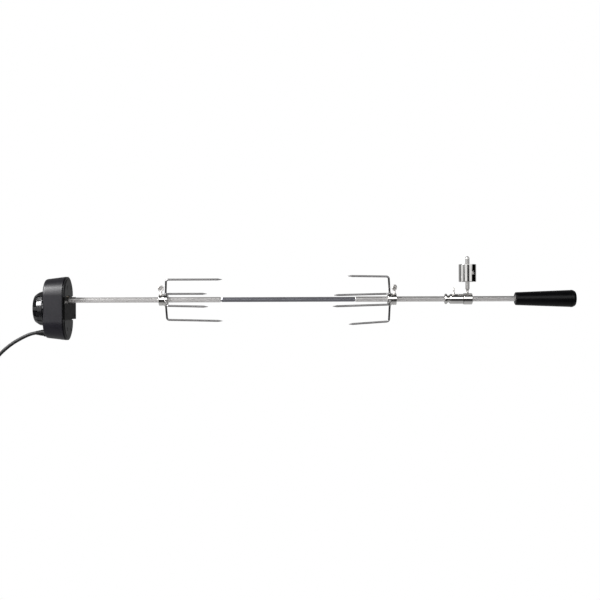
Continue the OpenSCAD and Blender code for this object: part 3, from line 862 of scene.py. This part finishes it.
def handle():
    low, high = box_mm("handle_grip")
    start, length, back = low.x, high.x - low.x, high.y
    mesh = bmesh.new()
    lathe(mesh, [
        (0, 8), (0, 11.2, 0.6), (0.9, 12.7, 0.8), (2.2, 13.0, 0.6), (length - 12.6, back - 0.3, 0.3),
        (length - 12, back - 0.9, 0.3), (length - 11, back - 0.9, 0.3), (length - 10.4, back, 0.3),
        (length - 7, back, 3), (length - 1.6, back - 2.6, 4), (length - 0.2, back - 7, 2),
        (length - 0.9, back - 9, 1), (length - 0.9, 3, 2), (length - 0.2, 0.2), (68, 0.2), (68, 8),
    ], Matrix.Translation((start, 0, 0)) @ X_AXIS, 96)
    finish_piece(to_object("handle_moulded", mesh), "handle", "handle_black", ["handle_grip"])


# ---- Cord's own pieces ----


def cord_tie():
    """A strap drawn around the turns where the cord runs in."""
    reach, low, high = COIL_SIDE + CORD_D / 2, COIL_INNER_R - CORD_D / 2, COIL_OUTER_R + CORD_D / 2
    outline = filleted([(-reach, low, 2.5), (reach, low, 2.5), (reach, high, 2.5), (-reach / 2, high, 6),
                        (-reach, high - 6, 4)], True, 6)
    middle = Vector((0, (low + high) / 2))
    place = Matrix.Translation((COIL_X, 0, COIL_Z)) @ Matrix.Rotation(math.radians(COIL_START), 4, "Y")
    rings = []
    for x, out in ((-4, 0.05), (-4, 1), (-3.6, 1.2), (3.6, 1.2), (4, 1), (4, 0.05)):
        ring = []
        for p in outline:
            away = (p - middle).normalized() * out
            ring.append(place @ Vector((x, p.x + away.x, p.y + away.y)))
        rings.append(ring)
    mesh = bmesh.new()
    join_rings(mesh, rings, closed=True)
    return finish_piece(to_object("coil_strap", mesh), "motor", "cord_black", ["cord_tie"])


PIN_Y, EARTH_DX = 6.35, 5.5


def plug():
    """A moulded plug with a ribbed sleeve, and its two flat pins and round earth pin."""
    x, top = TAIL_ROUTE[-1][0], TAIL_ROUTE[-1][2]
    place = Matrix.Translation((x, 0, 0))
    mesh = bmesh.new()
    sleeve = [(top, 0), (top, 4.5, 0.3)]
    for k in range(4):
        sleeve += [(top - 2 - 3 * k, 4.5 + 0.35 * k, 0.2), (top - 2.6 - 3 * k, 3.9 + 0.35 * k, 0.2),
                   (top - 3.4 - 3 * k, 3.9 + 0.35 * k, 0.2), (top - 4 - 3 * k, 4.8 + 0.35 * k, 0.2)]
    lathe(mesh, [*sleeve, (top - 15, 7, 0.8), (top - 16.5, 12, 2), (top - 20, 13, 2),
                 (top - 31, 12.6, 1.5), (top - 34, 13, 0.8), (top - 34, 0)], place, 56, closed=False)
    body = finish_piece(to_object("plug_body", mesh), "motor", "cord_black", ["power_plug"])
    pins = bmesh.new()
    for y in (-PIN_Y, PIN_Y):
        block(pins, (x - 0.75, y - 3.15, top - 50), (x + 0.75, y + 3.15, top - 33))
    lathe(pins, [(top - 52, 0), (top - 52, 1.2, 0.6), (top - 50, 2.4, 0.8), (top - 33, 2.4), (top - 33, 0)],
          Matrix.Translation((x + EARTH_DX, 0, 0)), 32, closed=False)
    blades = to_object("plug_blades", pins)
    round_edges(blades, 0.35, 60)
    finish_piece(blades, "motor", "brass", [])
    return [body, blades]


motor_shell()
face_plate()
drum()
strain_relief = gland()
spit()
for fork, facts in FORKS.items():
    fork_collar(fork)
    for kind in PRONGS:
        prong_pair(fork, kind)
    thumb_screw(f"{fork}_thumb_spade", facts["x"] - facts["side"] * COLLAR_SCREW_DX, (12, 13), 17,
                facts["head_turn"], f"{fork}_thumb_screw", f"{fork}_screw")
bushing()
thumb_screw("bushing_thumb_spade", BUSHING_SCREW_X, (9, 10), 13.5, 78, "bushing_thumb_screw", "bushing_screw")
hub()
arm()
weight()
lock_screw()
handle()
tie = cord_tie()
plug_pieces = plug()

# CAD nodes kept in their own shape: body, finish and width of the rounded edges.
CARRIED = {
    "mounting_bracket": ("motor", "bracket_black", 0.3), "bracket_screws": ("motor", "screw_steel", 0.15),
    # The inner parts take the steel that is painted darker as painted shade.
    "cover_screws": ("motor", "screw_black", 0.2), "motor_can": ("motor", "inner_steel", 0.4),
    "motor_plate": ("motor", "inner_steel", 0.2), "gearbox_plate": ("motor", "inner_steel", 0.2),
    "gearbox_posts": ("motor", "inner_steel", 0.2), "idler_axle": ("motor", "inner_steel", 0.2),
    "socket_bushing": ("motor", "brass", 0.3), "rotor_pinion": ("rotor", "brass", 0.1),
    "idler_gear": ("idler", "gear_nylon", 0.1), "drive_gear": ("drive", "gear_nylon", 0.1),
    "drive_socket": ("drive", "inner_steel", 0.2), "handle_insert": ("handle", "inner_steel", 0.2),
}
for node, (body, material, edge) in CARRIED.items():
    from_node(node, body, material, edge)

lead.data.materials.append(MATERIALS["cord_black"])
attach(lead, "motor")
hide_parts("power_cord", "cord_coil", "cord_tail")

# ---- Floor, surroundings and light ----

FLOOR_Z = -0.46
FLOOR_SIZE = 24


def add_floor():
    """A plain pale floor that only the camera sees, so that it throws no colour on the steel."""
    mesh = bmesh.new()
    half = FLOOR_SIZE / 2
    mesh.faces.new([mesh.verts.new((x, y, FLOOR_Z)) for x, y in
                    ((-half, -half), (half, -half), (half, half), (-half, half))])
    data = bpy.data.meshes.new("floor")
    mesh.to_mesh(data)
    mesh.free()
    floor = bpy.data.objects.new("floor", data)
    scene.collection.objects.link(floor)
    made = bpy.data.materials.new("floor_white")
    made.use_nodes = True
    nodes, links = made.node_tree.nodes, made.node_tree.links
    nodes.remove(nodes["Principled BSDF"])
    glow = nodes.new("ShaderNodeEmission")
    glow.inputs["Color"].default_value = (1, 1, 1, 1)
    links.new(glow.outputs["Emission"], nodes["Material Output"].inputs["Surface"])
    data.materials.append(made)
    floor.visible_glossy = False
    floor.visible_diffuse = False
    floor.visible_shadow = False


# Brightness by angle in degrees: BANDS upwards from level, PANELS sideways from straight ahead.
BANDS = [(-170, 0.35), (-120, 0.55), (-60, 0.45), (-50, 0.20), (-42, 0.06), (3, 0.04), (8, 2.5), (36, 2.5),
         (42, 0.05), (80, 0.04), (96, 0.10), (130, 0.30), (170, 0.35)]
PANELS = [(-110, 0), (-104, 0.9), (-66, 0.9), (-64, 0), (-46, 0), (-44, 1), (-14, 1), (-12, 0), (15, 0),
          (17, 1), (46, 1), (48, 0)]
BANDS_END = 0.85  # how near to the spit's own direction the bands come
PANELS_RISE, PANELS_REACH = 0.02, 0.09


def add_surroundings():
    """The studio as a pattern of brightness by direction: bands seen along the spit, panels seen upright."""
    world = bpy.data.worlds.new("studio")
    scene.world = world
    world.use_nodes = True
    nodes, links = world.node_tree.nodes, world.node_tree.links
    background = nodes["Background"]

    def math_node(operation, *values):
        node = nodes.new("ShaderNodeMath")
        node.operation = operation
        for i, value in enumerate(values):
            if isinstance(value, (int, float)):
                node.inputs[i].default_value = value
            else:
                links.new(value, node.inputs[i])
        return node.outputs[0]

    def by_angle(angle, stops):
        """Brightness by angle in degrees, from -180 to 180, in straight lines between the stops."""
        share = math_node("MULTIPLY_ADD", angle, 1 / (2 * math.pi), 0.5)
        ramp = nodes.new("ShaderNodeValToRGB")
        elements = ramp.color_ramp.elements
        while len(elements) > 1:
            elements.remove(elements[-1])
        elements[0].position = 0
        elements[0].color = (stops[0][1],) * 3 + (1,)
        for degrees, value in stops:
            element = elements.new((degrees + 180) / 360)
            element.color = (value, value, value, 1)
        links.new(share, ramp.inputs["Fac"])
        return ramp.outputs["Color"]

    place = nodes.new("ShaderNodeTexCoord")
    parts = nodes.new("ShaderNodeSeparateXYZ")
    links.new(place.outputs["Generated"], parts.inputs[0])
    x, y, z = (parts.outputs[i] for i in range(3))
    front = math_node("MULTIPLY", y, -1)
    rise = math_node("ARCTAN2", z, front)
    around = math_node("ARCTAN2", x, front)
    bands = by_angle(rise, BANDS)
    panels = by_angle(around, PANELS)
    off_level = math_node("ABSOLUTE", math_node("SUBTRACT", z, PANELS_RISE))
    panels_here = math_node("MULTIPLY", panels, math_node("LESS_THAN", off_level, PANELS_REACH))
    not_along = math_node("LESS_THAN", math_node("ABSOLUTE", x), BANDS_END)
    total = math_node("MAXIMUM", math_node("MULTIPLY", bands, not_along), panels_here)
    light = nodes.new("ShaderNodeLightPath")
    mix = nodes.new("ShaderNodeMix")
    mix.data_type = "FLOAT"
    others, camera_white = mix.inputs[2], mix.inputs[3]
    links.new(light.outputs["Is Camera Ray"], mix.inputs["Factor"])
    links.new(total, others)
    camera_white.default_value = 1
    links.new(mix.outputs[0], background.inputs["Strength"])
    background.inputs["Color"].default_value = (1, 1, 1, 1)


def add_softbox(name, middle, aim, size, power, fills=True):
    """An area light. One that does not fill is seen in reflections only."""
    data = bpy.data.lights.new(name, "AREA")
    data.shape = "RECTANGLE"
    data.size, data.size_y = size
    data.energy = power
    light = bpy.data.objects.new(name, data)
    scene.collection.objects.link(light)
    light.location = middle
    light.rotation_euler = (Vector(middle) - Vector(aim)).to_track_quat("Z", "Y").to_euler()
    light.visible_diffuse = fills


add_floor()
add_surroundings()
add_softbox("motor_softbox", (-0.95, -0.60, 1.05), (-0.03, 0, -0.01), (0.6, 0.30), 38, fills=False)
add_softbox("drum_softbox", (-1.10, -0.80, 0.62), (-0.06, 0, -0.01), (0.5, 0.6), 26, fills=False)
